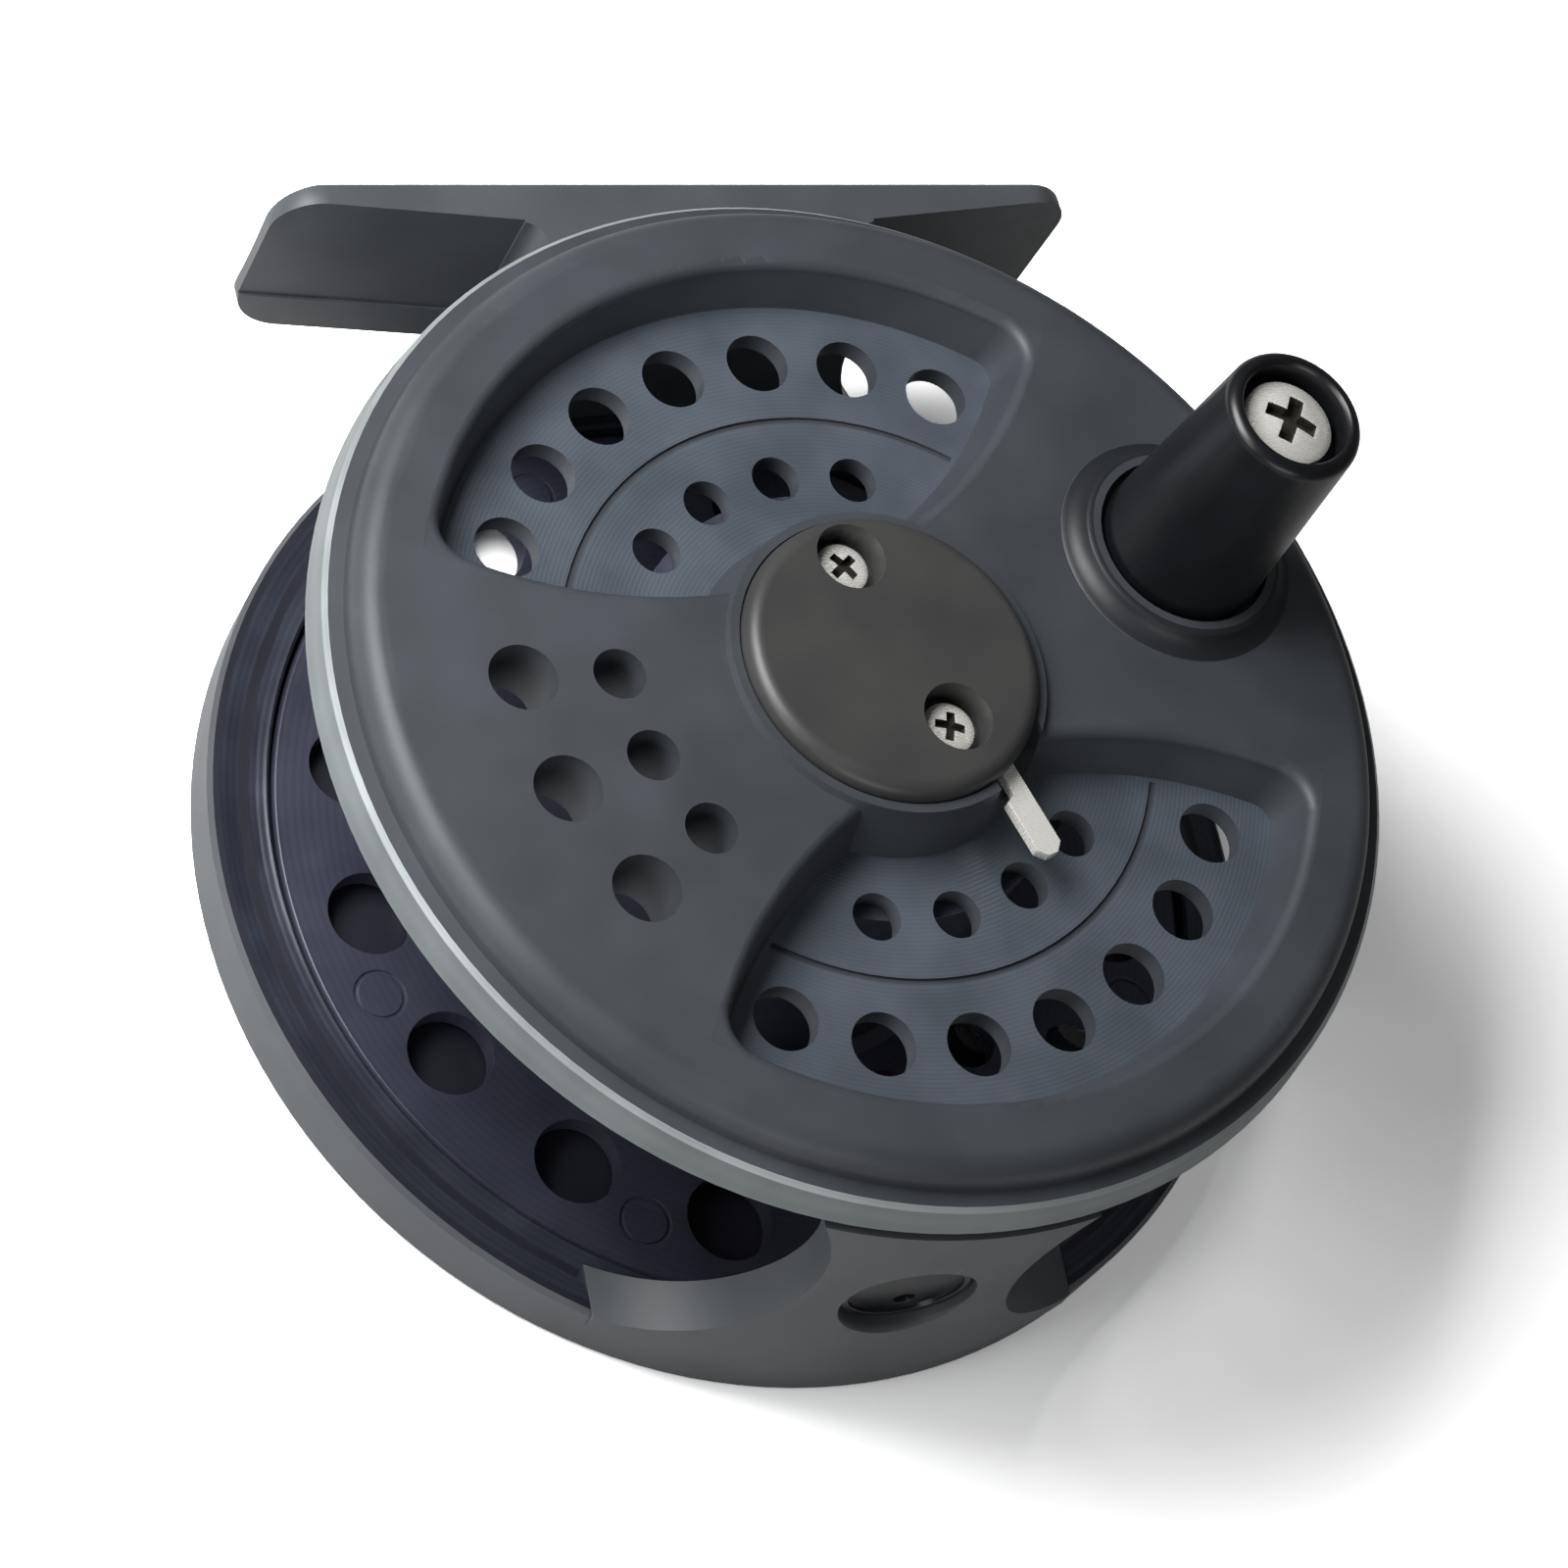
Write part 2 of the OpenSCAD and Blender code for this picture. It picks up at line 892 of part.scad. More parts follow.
module lever_post() {
  color("#c4c7c9")
  in_spool()
    translate([lever_pivot[0], lever_pivot[1], 0]) {
      translate([0, 0, pocket_z - 2])
        cylinder(h = shelf_z - pocket_z + 1.95, r = lever_post_r);
      translate([0, 0, pocket_z])
        cylinder(h = lever_z - pocket_z - 0.04, r = 1.3);
    }
}

module release_lever() {
  px = lever_pivot[0];
  py = lever_pivot[1];
  color("#d9dbd8")
  in_spool()
    translate([0, 0, lever_z])
      difference() {
        linear_extrude(height = lever_t)
          difference() {
            union() {
              translate([px, py])
                circle(r = lever_eye_r);
              polygon([
                [px - 1.3, py],
                [4.95, 1.6],
                [2.6, 0.75],
                [1.2, 0.35],
                [1.2, -0.75],
                [2.4, -1.2],
                [4.95, -1.6],
                [4.95, -6.2],
                [3.45, -9.6],
                [3.45, -11.7],
                [2.66, -12.1],
                [2.66, -15.95],
                [3.31, -16.6],
                [4.09, -16.6],
                [4.74, -15.95],
                [4.74, -9.8],
                [6.35, -6.2],
                [6.9, 0],
                [px + 1.3, py]
              ]);
            }
            circle(r = hook_r);
          }
        translate([px, py, -1])
          cylinder(h = 4, r = lever_post_r + run_fit);
      }
}

// bow leaf between the pocket wall and the lever, keeps the hook in the spindle groove
module lever_spring() {
  bow_r = 3.6;
  half = 66;
  color("#c9ccce")
  in_spool()
    translate([7.02 + bow_r, -0.3, lever_z + 0.05])
      rotate([0, 0, 180 - half])
        rotate_extrude(angle = 2 * half)
          translate([bow_r - 0.22, 0])
            square([0.22, lever_t - 0.1]);
}

module latch_cap() {
  edge = 1.2;
  color("#474645")
  in_spool()
    difference() {
      union() {
        translate([0, 0, shelf_z])
          rotate_extrude() {
            square([cap_r - edge, cap_top - shelf_z]);
            square([cap_r, cap_top - shelf_z - edge]);
            translate([cap_r - edge, cap_top - shelf_z - edge])
              intersection() {
                circle(r = edge);
                square(edge);
              }
          }
        intersection() {
          for (p = cap_screw_at)
            translate([p[0], p[1], pocket_z])
              cylinder(h = shelf_z - pocket_z + 0.2, r = 3.02);
          cylinder(h = 60, r = pocket_r - 0.05);
        }
      }
      for (p = cap_screw_at)
        translate([p[0], p[1], 0]) {
          cylinder(h = 60, r = m2[0] + 0.1);
          translate([0, 0, cap_top - 2.45])
            cylinder(h = 5, r = 2.52);
        }
      translate([0, 0, shelf_z - 1])
        cylinder(h = 2, r = tip_r + 0.6);
    }
}

module cap_screws() {
  color("#d4d6d6")
  in_spool()
    for (i = [0, 1])
      translate([cap_screw_at[i][0], cap_screw_at[i][1], cap_top - 2.45])
        rotate([0, 0, 20 + 35 * i])
          pan_screw(m2, 3.9);
}

// ---------- handle ----------

module at_handle() {
  in_spool()
    translate([handle_at, 0, 0])
      children();
}

module handle_stud() {
  color("#c4c7c9")
  at_handle()
    difference() {
      union() {
        translate([0, 0, flange_z + 0.05])
          cylinder(h = 1.3, r = 4.2);
        translate([0, 0, flange_z + 1])
          cylinder(h = face_z - flange_z - 0.95, r = stud_r + 0.6);
        translate([0, 0, face_z])
          cylinder(h = head_z - face_z - 0.1, r = stud_r);
      }
      translate([0, 0, head_z - 7])
        cylinder(h = 8, r = 1.23);
    }
}

module stud_washer() {
  color("#e4e2da")
  at_handle()
    translate([0, 0, face_z + 0.05])
      tube(4.6, stud_r, 0.25);
}

module handle_grip() {
  edge = 0.95;
  color("#1c1e22")
  at_handle()
    difference() {
      translate([0, 0, grip_z])
        rotate_extrude() {
          difference() {
            polygon([
              [0, 0],
              [grip_r0 - 0.4, 0],
              [grip_r0, 0.4],
              [grip_r1, grip_len - edge],
              [grip_r1 - edge, grip_len],
              [0, grip_len]
            ]);
          }
          translate([grip_r1 - edge, grip_len - edge])
            circle(r = edge);
        }
      cylinder(h = 80, r = stud_r + run_fit);
      translate([0, 0, head_z - 0.15])
        cylinder(h = 10, r = head_r + 0.65);
      translate([0, 0, grip_top - 0.35])
        cylinder(h = 0.5, r1 = head_r + 0.65, r2 = head_r + 0.95);
    }
}

module handle_screw() {
  color("#d4d6d6")
  at_handle()
    translate([0, 0, head_z])
      rotate([0, 0, 40])
        pan_screw([1.23, head_r, 1.55], 6);
}

frame_plate();
guard_pillar();
foot_pillar();
frame_screws();
hook_keeper();
reel_foot();
foot_screws();
spindle();
spindle_washer();
spindle_nut();
nut_cover();
pawl_post();
click_pawl();
pawl_spring();
click_knob();
spring_holder();
holder_screw();
spool_face();
spool_drum();
drum_screws();
spool_bush();
click_gear();
lever_post();
release_lever();
lever_spring();
latch_cap();
cap_screws();
handle_stud();
stud_washer();
handle_grip();
handle_screw();
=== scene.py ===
import bpy
import json
import math
from mathutils import Matrix, Vector

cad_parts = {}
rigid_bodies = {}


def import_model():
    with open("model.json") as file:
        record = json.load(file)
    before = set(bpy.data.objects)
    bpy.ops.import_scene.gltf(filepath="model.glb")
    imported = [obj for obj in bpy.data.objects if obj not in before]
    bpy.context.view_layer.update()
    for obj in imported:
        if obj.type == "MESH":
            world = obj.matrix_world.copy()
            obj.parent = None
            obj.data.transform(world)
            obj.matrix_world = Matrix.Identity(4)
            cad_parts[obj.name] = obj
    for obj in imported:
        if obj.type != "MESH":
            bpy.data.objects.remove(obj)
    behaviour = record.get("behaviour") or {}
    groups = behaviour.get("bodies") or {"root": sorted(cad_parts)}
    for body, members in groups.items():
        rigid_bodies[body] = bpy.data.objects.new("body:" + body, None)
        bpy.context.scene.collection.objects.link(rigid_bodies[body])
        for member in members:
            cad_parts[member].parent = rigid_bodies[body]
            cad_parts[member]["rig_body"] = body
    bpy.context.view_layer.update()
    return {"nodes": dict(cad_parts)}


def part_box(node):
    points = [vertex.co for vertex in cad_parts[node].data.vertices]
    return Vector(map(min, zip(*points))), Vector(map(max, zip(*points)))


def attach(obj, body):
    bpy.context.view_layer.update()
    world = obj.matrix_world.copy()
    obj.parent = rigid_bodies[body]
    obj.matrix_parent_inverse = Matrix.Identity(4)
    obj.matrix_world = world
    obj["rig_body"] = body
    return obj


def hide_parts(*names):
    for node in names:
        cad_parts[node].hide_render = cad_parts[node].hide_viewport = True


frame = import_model()
nodes = frame["nodes"]
mm = 0.001


def srgb(hexCode, alpha=1.0):
    # hex sRGB to the linear colour that the shaders expect
    out = []
    for i in (1, 3, 5):
        c = int(hexCode[i:i + 2], 16) / 255
        out.append(c / 12.92 if c <= 0.04045 else ((c + 0.055) / 1.055) ** 2.4)
    return (*out, alpha)


def addNode(tree, kind, settings=None, links=None):
    # one shader node: settings by attribute or socket name, links by socket name
    node = tree.nodes.new(kind)
    for key, value in (settings or {}).items():
        if isinstance(key, str) and hasattr(node, key) and key not in node.inputs:
            setattr(node, key, value)
        else:
            node.inputs[key].default_value = value
    for key, source in (links or {}).items():
        tree.links.new(source, node.inputs[key])
    return node


def newMaterial(name):
    material = bpy.data.materials.new(name)
    material.use_nodes = True
    tree = material.node_tree
    tree.nodes.clear()
    out = addNode(tree, "ShaderNodeOutputMaterial")
    return material, tree, out


def deselectAll():
    if bpy.context.object and bpy.context.object.mode != "OBJECT":
        bpy.ops.object.mode_set(mode="OBJECT")
    bpy.ops.object.select_all(action="DESELECT")


def makeActive(obj):
    deselectAll()
    obj.select_set(True)
    bpy.context.view_layer.objects.active = obj


def applyModifier(obj, kind, **settings):
    makeActive(obj)
    modifier = obj.modifiers.new(kind.title(), kind)
    for key, value in settings.items():
        setattr(modifier, key, value)
    bpy.ops.object.modifier_apply(modifier=modifier.name)


def paint(obj, *materials):
    obj.data.materials.clear()
    for material in materials:
        obj.data.materials.append(material)


# how the copy of a CAD part is merged and its sharp edges are broken, in millimetres and degrees
softening = {"merge": 0.002, "flat": 0.6, "segments": 2, "sharp": 32, "smooth": 30}


def softened(name, width):
    # merged copy of a CAD part with small bevels on its sharp edges
    source = nodes[name]
    piece = bpy.data.objects.new(name + "_finished", source.data.copy())
    bpy.context.scene.collection.objects.link(piece)
    makeActive(piece)
    bpy.ops.object.mode_set(mode="EDIT")
    bpy.ops.mesh.select_all(action="SELECT")
    bpy.ops.mesh.remove_doubles(threshold=softening["merge"] * mm)
    bpy.ops.mesh.customdata_custom_splitnormals_clear()
    bpy.ops.mesh.dissolve_limited(angle_limit=math.radians(softening["flat"]))
    bpy.ops.object.mode_set(mode="OBJECT")
    applyModifier(piece, "BEVEL", width=width * mm, segments=softening["segments"],
                  limit_method="ANGLE", angle_limit=math.radians(softening["sharp"]),
                  harden_normals=False, use_clamp_overlap=True, miter_outer="MITER_ARC")
    makeActive(piece)
    bpy.ops.object.shade_smooth_by_angle(angle=math.radians(softening["smooth"]))
    applyModifier(piece, "WEIGHTED_NORMAL", keep_sharp=True)
    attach(piece, source["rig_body"])
    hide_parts(name)
    return piece


def facesWhere(obj, test, index):
    # gives the faces that pass the test another material slot
    for face in obj.data.polygons:
        if test(face.center / mm, face.normal):
            face.material_index = index


def selectCorners(piece, test):
    # only the vertices that pass the test (x and z in millimetres) stay selected
    for part in (*piece.data.edges, *piece.data.polygons):
        part.select = False
    for vertex in piece.data.vertices:
        vertex.select = test(vertex.co.x / mm, vertex.co.z / mm)
    bpy.ops.object.mode_set(mode="EDIT")
    bpy.ops.mesh.select_mode(type="VERT")


spoolAngle = 17  # how far the spool stands turned about the spindle at rest, in degrees


def onSpool(x, y):
    # a place in the spool's own frame, turned to where the spool stands
    a = math.radians(spoolAngle)
    return x * math.cos(a) - y * math.sin(a), x * math.sin(a) + y * math.cos(a)


def fromSpindle(point):
    return math.hypot(point.x, point.y)


def speckle(tree, coords, size, detail=3.0, rough=0.6):
    # fine even noise whose grain is size millimetres
    return addNode(tree, "ShaderNodeTexNoise",
                   {"Scale": 1 / (size * mm), "Detail": detail, "Roughness": rough},
                   {"Vector": coords.outputs["Object"]})


def clouds(tree, coords, size):
    # broad, faint unevenness whose patches are about size millimetres
    return speckle(tree, coords, size, detail=2.0, rough=0.5)


def blend(tree, factor, a, b, low=0.3, high=0.7):
    # two colours mixed by a remapped grey value
    ramp = addNode(tree, "ShaderNodeMapRange", {"From Min": low, "From Max": high, "clamp": True},
                   {"Value": factor})
    mix = addNode(tree, "ShaderNodeMix", {"data_type": "RGBA"})  # 6 and 7 are its two colours
    mix.inputs[6].default_value = srgb(a)
    mix.inputs[7].default_value = srgb(b)
    tree.links.new(ramp.outputs["Result"], mix.inputs[0])
    return mix.outputs[2]


def roughRange(tree, factor, low, high):
    ramp = addNode(tree, "ShaderNodeMapRange", {"To Min": low, "To Max": high}, {"Value": factor})
    return ramp.outputs["Result"]


def ringLines(tree, coords, pitch, wobble=0.15, driftSize=9):
    # turning marks: lines that run round the spindle, pitch in millimetres
    flat = addNode(tree, "ShaderNodeVectorMath", {"operation": "MULTIPLY"}, {0: coords.outputs["Object"]})
    flat.inputs[1].default_value = (1, 1, 0)
    radius = addNode(tree, "ShaderNodeVectorMath", {"operation": "LENGTH"}, {0: flat.outputs["Vector"]})
    drift = addNode(tree, "ShaderNodeTexNoise", {"Scale": 1 / (driftSize * mm), "Detail": 1.0},
                    {"Vector": coords.outputs["Object"]})
    shift = addNode(tree, "ShaderNodeMath", {"operation": "MULTIPLY", 1: wobble * pitch * mm},
                    {0: drift.outputs["Fac"]})
    place = addNode(tree, "ShaderNodeMath", {"operation": "ADD"},
                    {0: radius.outputs["Value"], 1: shift.outputs["Value"]})
    phase = addNode(tree, "ShaderNodeMath", {"operation": "MULTIPLY", 1: 2 * math.pi / (pitch * mm)},
                    {0: place.outputs["Value"]})
    wave = addNode(tree, "ShaderNodeMath", {"operation": "SINE"}, {0: phase.outputs["Value"]})
    return wave.outputs["Value"]


def castPaint(name, dark, light, grain=0.22, rough=(0.4, 0.52), bump=0.05, depth=0.03):
    # satin enamel sprayed on die-cast aluminium: soft sheen, very fine orange peel
    material, tree, out = newMaterial(name)
    coords = addNode(tree, "ShaderNodeTexCoord")
    cloud = clouds(tree, coords, size=7)
    fine = speckle(tree, coords, grain)
    colour = blend(tree, cloud.outputs["Fac"], dark, light)
    relief = addNode(tree, "ShaderNodeBump", {"Strength": bump, "Distance": depth * mm},
                     {"Height": fine.outputs["Fac"]})
    shader = addNode(tree, "ShaderNodeBsdfPrincipled", {"Metallic": 0.0, "IOR": 1.5},
                     {"Base Color": colour, "Normal": relief.outputs["Normal"],
                      "Roughness": roughRange(tree, fine.outputs["Fac"], *rough)})
    tree.links.new(shader.outputs["BSDF"], out.inputs["Surface"])
    return material


def turnedAnodised(name, dark, light, pitch=0.32, rough=(0.3, 0.42), metallic=0.25, bump=0.25,
                   depth=0.02, lineTint=0.07):
    # aluminium faced on a lathe, then anodised: tool lines under a thin tinted skin
    material, tree, out = newMaterial(name)
    coords = addNode(tree, "ShaderNodeTexCoord")
    wave = ringLines(tree, coords, pitch)
    cloud = clouds(tree, coords, size=6)
    both = addNode(tree, "ShaderNodeMath", {"operation": "MULTIPLY_ADD", 1: lineTint},
                   {0: wave, 2: cloud.outputs["Fac"]})
    colour = blend(tree, both.outputs["Value"], dark, light)
    relief = addNode(tree, "ShaderNodeBump", {"Strength": bump, "Distance": depth * mm},
                     {"Height": wave})
    shader = addNode(tree, "ShaderNodeBsdfPrincipled", {"Metallic": metallic},
                     {"Base Color": colour, "Normal": relief.outputs["Normal"],
                      "Roughness": roughRange(tree, cloud.outputs["Fac"], *rough)})
    tree.links.new(shader.outputs["BSDF"], out.inputs["Surface"])
    return material


def platedSteel(name, tone, shade, rough=(0.2, 0.34), streak=0.4, stretch=6, metallic=0.4,
                bump=0.03, depth=0.02):
    # nickel-plated steel: bright, with faint polishing marks and a few dull spots
    material, tree, out = newMaterial(name)
    coords = addNode(tree, "ShaderNodeTexCoord")
    stretched = addNode(tree, "ShaderNodeMapping", {"Scale": (1, stretch, 1)},
                        {"Vector": coords.outputs["Object"]})
    marks = addNode(tree, "ShaderNodeTexNoise", {"Scale": 1 / (streak * mm), "Detail": 4.0},
                    {"Vector": stretched.outputs["Vector"]})
    colour = blend(tree, marks.outputs["Fac"], shade, tone)
    relief = addNode(tree, "ShaderNodeBump", {"Strength": bump, "Distance": depth * mm},
                     {"Height": marks.outputs["Fac"]})
    shader = addNode(tree, "ShaderNodeBsdfPrincipled", {"Metallic": metallic},
                     {"Base Color": colour, "Normal": relief.outputs["Normal"],
                      "Roughness": roughRange(tree, marks.outputs["Fac"], *rough)})
    tree.links.new(shader.outputs["BSDF"], out.inputs["Surface"])
    return material


def mouldedPlastic(name, dark, light, grain=0.12, rough=(0.28, 0.36), bump=0.03, depth=0.02):
    # injection-moulded nylon: even colour, soft gloss and a very fine grain
    material, tree, out = newMaterial(name)
    coords = addNode(tree, "ShaderNodeTexCoord")
    fine = speckle(tree, coords, grain)
    wide = clouds(tree, coords, size=5)
    colour = blend(tree, wide.outputs["Fac"], dark, light)
    relief = addNode(tree, "ShaderNodeBump", {"Strength": bump, "Distance": depth * mm},
                     {"Height": fine.outputs["Fac"]})
    shader = addNode(tree, "ShaderNodeBsdfPrincipled", {"Metallic": 0.0, "IOR": 1.52},
                     {"Base Color": colour, "Normal": relief.outputs["Normal"],
                      "Roughness": roughRange(tree, wide.outputs["Fac"], *rough)})
    tree.links.new(shader.outputs["BSDF"], out.inputs["Surface"])
    return material


finishes = {
    "face": castPaint("satin_enamel_slate", "#3a3e43", "#44484e", 0.22, (0.44, 0.56)),
    # darker enamel on the boss's slopes: painted shade where the boss faces away from the light
    "boss": castPaint("boss_enamel_painted_shade", "#1d2024", "#24272b"),
    "floor": turnedAnodised("turned_anodised_slate", "#525a63", "#626a74"),
    "lip": turnedAnodised("turned_anodised_rim", "#6a7172", "#7b8283", 0.25, (0.35, 0.5), 0.3, 0.1),
    # lighter colour on the rim's slanted front edge: a painted highlight where light catches the edge
    "lipEdge": turnedAnodised("rim_edge_painted_highlight", "#92989a", "#a6abad", 0.25, (0.35, 0.5), 0.3, 0.1),
    "frame": castPaint("satin_enamel_frame", "#484c50", "#53575b"),
    # dark colour for the frame's inside under the spool: painted shade
    "inside": castPaint("inside_painted_shade", "#1b1c26", "#23242f"),
    "ringFace": turnedAnodised("gloss_anodised_ring", "#31343e", "#40444f", 0.5, (0.2, 0.32), 0.3, 0.2),
    "drum": turnedAnodised("anodised_drum", "#393b49", "#454756", 0.6, (0.3, 0.42), 0.2, 0.08),
    "cap": castPaint("satin_enamel_cap", "#3a3a3a", "#434342", 0.2, (0.34, 0.44)),
    "grip": mouldedPlastic("moulded_nylon_grip", "#0e0f12", "#141519"),
    "plastic": mouldedPlastic("moulded_acetal_black", "#16171a", "#202226", 0.15, (0.2, 0.3)),
    "washer": mouldedPlastic("white_nylon_washer", "#c9c6bc", "#dedbd1", 0.15, (0.4, 0.5)),
    "steel": platedSteel("nickel_plated_steel", "#faf8f2", "#eeebe3"),
    # dark colour for the screws' cross recesses: painted shade in the hollows
    "recess": platedSteel("screw_recess_painted_shade", "#4a4640", "#2e2b27", (0.45, 0.6)),
    "spring": platedSteel("blued_spring_steel", "#9a9c9f", "#6f7276", (0.25, 0.4)),
    "brass": platedSteel("machined_brass", "#c9a45c", "#a8823f", (0.2, 0.36)),
}
print("finishes made:", len(finishes))


dressing = {
    # node: bevel in millimetres, finish
    "frame_plate": (0.12, "frame"),
    "guard_pillar": (0.3, "frame"),
    "foot_pillar": (0.3, "frame"),
    "frame_screws": (0.04, "steel"),
    "hook_keeper": (0.08, "plastic"),
    "reel_foot": (0.3, "frame"),
    "foot_screws": (0.04, "steel"),
    "spindle": (0.08, "steel"),
    "spindle_washer": (0.06, "steel"),
    "spindle_nut": (0.08, "steel"),
    "nut_cover": (0.1, "plastic"),
    "pawl_post": (0.05, "steel"),
    "click_pawl": (0.08, "steel"),
    "pawl_spring": (0.04, "spring"),
    "click_knob": (0.08, "steel"),
    "spring_holder": (0.08, "brass"),
    "holder_screw": (0.04, "steel"),
    "spool_face": (0.22, "face"),
    "spool_drum": (0.15, "drum"),
    "drum_screws": (0.05, "steel"),
    "spool_bush": (0.08, "brass"),
    "click_gear": (0.05, "brass"),
    "lever_post": (0.05, "steel"),
    "release_lever": (0.1, "steel"),
    "lever_spring": (0.03, "spring"),
    "latch_cap": (0.15, "cap"),
    "cap_screws": (0.07, "steel"),
    "handle_stud": (0.08, "steel"),
    "stud_washer": (0.05, "washer"),
    "handle_grip": (0.15, "grip"),
    "handle_screw": (0.1, "steel"),
}
pieces = {}
for name, (bevel, finish) in dressing.items():
    pieces[name] = softened(name, bevel)
    paint(pieces[name], finishes[finish])
print("parts dressed:", len(pieces))

# the spool face: paint, turned pocket floors, turned rim with its front edge painted lighter as a painted
# highlight, boss round the handle painted darker as painted shade
faceValues = {"floorTop": 28.15, "rimInner": 38.3, "rimTop": 29.8, "rimEdge": 0.4,
              "handleOut": 26.3, "bossReach": 11.0, "bossLow": 32.25}
face = pieces["spool_face"]
paint(face, *[finishes[finish] for finish in ("face", "floor", "lip", "lipEdge", "boss")])


def onFloor(centre, normal):
    return normal.z > 0.9 and abs(centre.z - faceValues["floorTop"]) < 0.1


def onRim(centre, normal):
    return fromSpindle(centre) > faceValues["rimInner"] and centre.z < faceValues["rimTop"]


# the slanted faces at the rim's front edge, which take the painted highlight
def onRimEdge(centre, normal):
    high = centre.z > faceValues["rimTop"] - faceValues["rimEdge"]
    return high and 0.2 < normal.z < 0.95 and onRim(centre, normal)


# the boss's slopes, which take the painted shade
def onBoss(centre, normal):
    x, y = onSpool(faceValues["handleOut"], 0)
    near = math.hypot(centre.x - x, centre.y - y) < faceValues["bossReach"]
    return near and 0.1 < normal.z < 0.985 and centre.z > faceValues["bossLow"]


for index, test in ((1, onFloor), (2, onRim), (3, onRimEdge), (4, onBoss)):
    facesWhere(face, test, index)

# the frame: gloss step inside its rim, and its inside under the spool painted dark as painted shade
frameValues = {"stepInner": 34.6, "stepOuter": 38.7, "stepLow": 2.0, "insideOuter": 35.2, "insideLow": 0.6}
framePart = pieces["frame_plate"]
paint(framePart, *[finishes[finish] for finish in ("frame", "ringFace", "inside")])


def onStep(centre, normal):
    between = frameValues["stepInner"] < fromSpindle(centre) < frameValues["stepOuter"]
    return between and normal.z > -0.5 and centre.z > frameValues["stepLow"]


# the frame's inner faces under the spool, which take the painted shade
def onInside(centre, normal):
    within = fromSpindle(centre) < frameValues["insideOuter"]
    return within and normal.z > -0.1 and centre.z > frameValues["insideLow"]


facesWhere(framePart, onStep, 1)
facesWhere(framePart, onInside, 2)
print("spool face and frame painted")


# millimetres: the two arcs of a kidney recess, and the rounding where they meet
cornerValues = {"outerArc": 31, "eyeArc": 34.6, "eyeCentre": 43.6, "height": 4.05, "draft": 0.9, "lip": 0.9,
                "radius": 1.8, "reach": 5.6, "sink": 0.012, "root": 0.3, "lipSegments": 7, "steps": 14}


def cornerFillet(name, side, halfTurn):
    # round corner of a kidney recess: a wall profile spun round the corner's own centre
    v = cornerValues
    a, b, d = v["outerArc"] - v["radius"], v["eyeArc"] - v["radius"], v["eyeCentre"]
    y = (a * a - b * b + d * d) / (2 * d)
    x = math.sqrt(a * a - y * y)
    start, end = math.atan2(y - d, x), math.atan2(y, x)
    inner = v["radius"] + v["draft"]
    top, low = v["height"] - v["sink"], -v["root"]
    wallTop = top - v["lip"]
    deselectAll()
    bpy.ops.mesh.primitive_plane_add(size=mm, rotation=(math.radians(90), 0, 0))
    piece = bpy.context.object
    piece.name = name
    bpy.ops.object.transform_apply(rotation=True)
    bpy.ops.object.mode_set(mode="EDIT")
    bpy.ops.mesh.select_all(action="SELECT")
    bpy.ops.transform.resize(value=(v["reach"] - inner, 1, top - low))
    bpy.ops.transform.translate(value=((v["reach"] + inner) / 2 * mm, 0, (top + low) / 2 * mm))
    bpy.ops.object.mode_set(mode="OBJECT")
    # round the lip, then lean the wall below it
    selectCorners(piece, lambda x, z: x < inner + 0.1 and z > 0)
    bpy.ops.mesh.bevel(affect="VERTICES", offset=v["lip"] * mm, segments=v["lipSegments"])
    bpy.ops.object.mode_set(mode="OBJECT")
    selectCorners(piece, lambda x, z: x < inner + 0.1 and z < 0)
    bpy.ops.transform.translate(value=(-v["draft"] * (wallTop - low) / wallTop * mm, 0, 0))
    bpy.ops.mesh.select_all(action="SELECT")
    bpy.ops.transform.rotate(value=-start, orient_axis="Z", center_override=(0, 0, 0))
    bpy.ops.mesh.spin(steps=v["steps"], angle=start - end, center=(0, 0, 0), axis=(0, 0, 1))
    bpy.ops.mesh.select_all(action="SELECT")
    bpy.ops.mesh.remove_doubles(threshold=0.001 * mm)
    bpy.ops.object.mode_set(mode="OBJECT")
    turn = math.radians(spoolAngle + (180 if halfTurn else 0))
    place = Matrix.Rotation(turn, 4, "Z") @ Matrix.Diagonal((side, 1, 1, 1))
    piece.data.transform(place @ Matrix.Translation(Vector((x, y, faceValues["floorTop"])) * mm))
    makeActive(piece)
    bpy.ops.object.mode_set(mode="EDIT")
    bpy.ops.mesh.select_all(action="SELECT")
    bpy.ops.mesh.normals_make_consistent(inside=False)
    bpy.ops.object.mode_set(mode="OBJECT")
    bpy.ops.object.shade_smooth_by_angle(angle=math.radians(40))
    paint(piece, finishes["face"])
    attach(piece, "spool")


for halfTurn in (False, True):
    for side in (-1, 1):
        cornerFillet("pocket_corner_%d_%d" % (halfTurn, side), side, halfTurn)
print("pocket corners made")


# cross-recessed pan heads: places in the spool's own frame, millimetres
screwHeads = {
    "handle_screw": {"places": [(faceValues["handleOut"], 0)], "radius": 3.25, "height": 1.5},
    "cap_screws": {"places": [(0.9, 7.5), (1.5, -5.8)], "radius": 1.9, "height": 1.05},
}
# dome radius and reach of the cross as shares of the head's radius, and its least depth in millimetres
crossValues = {"dome": 2.6, "reach": 0.64, "depth": 0.07}


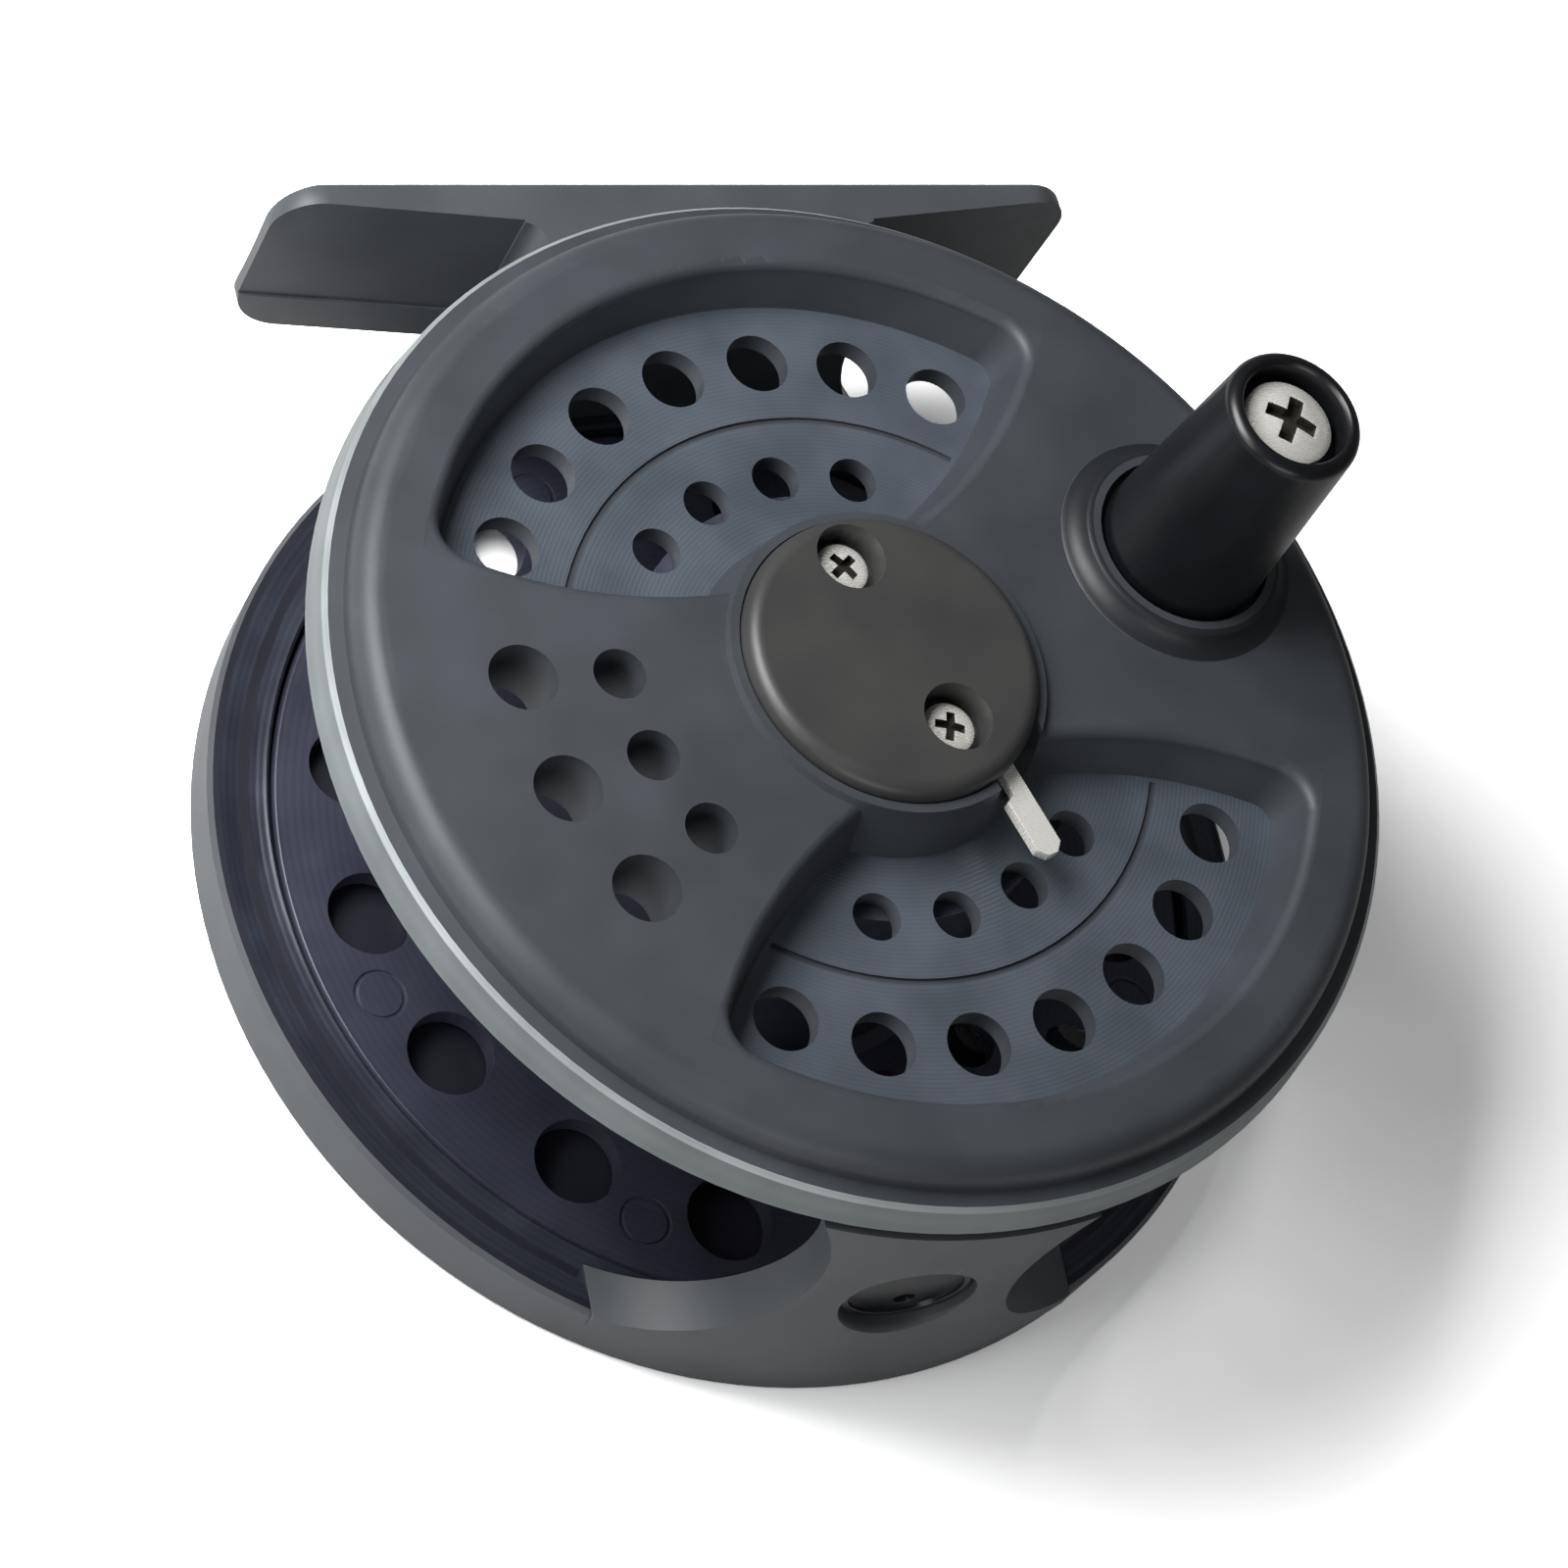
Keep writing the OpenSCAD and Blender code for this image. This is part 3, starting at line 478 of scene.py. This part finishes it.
def darkenRecess(name, places, radius, height):
    # the cross is what lies below the dome of the head
    paint(pieces[name], finishes["steel"], finishes["recess"])
    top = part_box(name)[1].z / mm
    dome = crossValues["dome"] * radius
    centres = [onSpool(x, y) for x, y in places]
    # the cross is what lies below the dome of the head; its faces get the painted shade of the recess

    def inCross(centre, normal):
        for x, y in centres:
            away = math.hypot(centre.x - x, centre.y - y)
            if away < crossValues["reach"] * radius:
                level = top - dome + math.sqrt(dome * dome - away * away)
                return top - height < centre.z < level - crossValues["depth"]
        return False

    facesWhere(pieces[name], inCross, 1)


for name, head in screwHeads.items():
    darkenRecess(name, **head)
print("screw recesses darkened")


# metres; the camera sees the floor lifted, and plain white from fadeFrom to fadeTo outwards
stageValues = {"floorSize": 3.0, "floorDrop": 0.00002, "floorColour": "#f4f4f4", "floorLift": 2.6,
               "world": 0.08, "fadeFrom": 0.1, "fadeTo": 0.24}
bpy.ops.mesh.primitive_plane_add(size=stageValues["floorSize"], location=(0, 0, -stageValues["floorDrop"]))
floor = bpy.context.object
floor.name = "floor"
floorMaterial, tree, out = newMaterial("pale_floor")
# what the camera sees of the floor is lifted to white; the bounce on the reel stays natural
ray = addNode(tree, "ShaderNodeLightPath")
lift = addNode(tree, "ShaderNodeMix", {"data_type": "RGBA"})
lift.inputs[6].default_value = srgb(stageValues["floorColour"])
lift.inputs[7].default_value = (stageValues["floorLift"],) * 3 + (1,)
tree.links.new(ray.outputs["Is Camera Ray"], lift.inputs[0])
floorShader = addNode(tree, "ShaderNodeBsdfDiffuse", {}, {"Color": lift.outputs[2]})
# away from the reel and its shadow the camera sees plain white
floorCoords = addNode(tree, "ShaderNodeTexCoord")
away = addNode(tree, "ShaderNodeVectorMath", {"operation": "LENGTH"}, {0: floorCoords.outputs["Object"]})
fade = addNode(tree, "ShaderNodeMapRange",
               {"From Min": stageValues["fadeFrom"], "From Max": stageValues["fadeTo"]},
               {"Value": away.outputs["Value"]})
seen = addNode(tree, "ShaderNodeMath", {"operation": "MULTIPLY"},
               {0: fade.outputs["Result"], 1: ray.outputs["Is Camera Ray"]})
plain = addNode(tree, "ShaderNodeEmission", {"Color": (1, 1, 1, 1)})
floorMix = addNode(tree, "ShaderNodeMixShader", {},
                   {0: seen.outputs["Value"], 1: floorShader.outputs["BSDF"], 2: plain.outputs["Emission"]})
tree.links.new(floorMix.outputs["Shader"], out.inputs["Surface"])
floor.data.materials.append(floorMaterial)

world = bpy.data.worlds.new("studio")
bpy.context.scene.world = world
world.use_nodes = True
background = world.node_tree.nodes["Background"]
background.inputs["Color"].default_value = (1, 1, 1, 1)
# white where the camera looks past the floor, weak as light
worldRay = addNode(world.node_tree, "ShaderNodeLightPath")
worldLevel = addNode(world.node_tree, "ShaderNodeMapRange", {"To Min": stageValues["world"], "To Max": 1.0},
                     {"Value": worldRay.outputs["Is Camera Ray"]})
world.node_tree.links.new(worldLevel.outputs["Result"], background.inputs["Strength"])


def softBox(name, azimuth, elevation, distance, size, power, target=(0, 0, 0.017)):
    # large area lamp that looks at the reel; distances and sizes in metres
    a, e = math.radians(azimuth), math.radians(elevation)
    aim = Vector(target)
    place = aim + distance * Vector((math.cos(e) * math.cos(a), math.cos(e) * math.sin(a), math.sin(e)))
    data = bpy.data.lights.new(name, "AREA")
    data.shape = "RECTANGLE"
    data.size, data.size_y = size
    data.energy = power
    lamp = bpy.data.objects.new(name, data)
    bpy.context.scene.collection.objects.link(lamp)
    lamp.location = place
    lamp.rotation_euler = (aim - place).to_track_quat("-Z", "Y").to_euler()


lamps = {
    # name: azimuth, elevation, distance, size, power
    "key_box": (150, 48, 0.2, (0.13, 0.1), 0.53),
    "left_box": (-175, 30, 0.34, (0.2, 0.14), 0.3),
    "front_box": (-105, 20, 0.6, (0.35, 0.16), 0.55),
}
for name, values in lamps.items():
    softBox(name, *values)

# degrees and millimetres
view = {"azimuth": -138.217, "elevation": 54.183, "distance": 307.94, "roll": 38.460,
        "target": (-1.853, -0.975, 17.0), "lens": 101.25, "sensor": 36, "shiftY": -0.00125}
a, e = math.radians(view["azimuth"]), math.radians(view["elevation"])
aim = Vector(view["target"]) * mm
outward = Vector((math.cos(e) * math.cos(a), math.cos(e) * math.sin(a), math.sin(e)))
eye = aim + view["distance"] * mm * outward
cameraData = bpy.data.cameras.new("camera")
cameraData.lens = view["lens"]
cameraData.sensor_width = view["sensor"]
cameraData.shift_y = view["shiftY"]
cameraData.clip_start = 0.01
cameraData.clip_end = 10
camera = bpy.data.objects.new("camera", cameraData)
bpy.context.scene.collection.objects.link(camera)
level = (aim - eye).to_track_quat("-Z", "Y").to_matrix()
rolled = level @ Matrix.Rotation(math.radians(view["roll"]), 3, "Z")
camera.matrix_world = Matrix.Translation(eye) @ rolled.to_4x4()
bpy.context.scene.camera = camera
bpy.context.scene.view_settings.view_transform = "Standard"
print("stage and camera set")
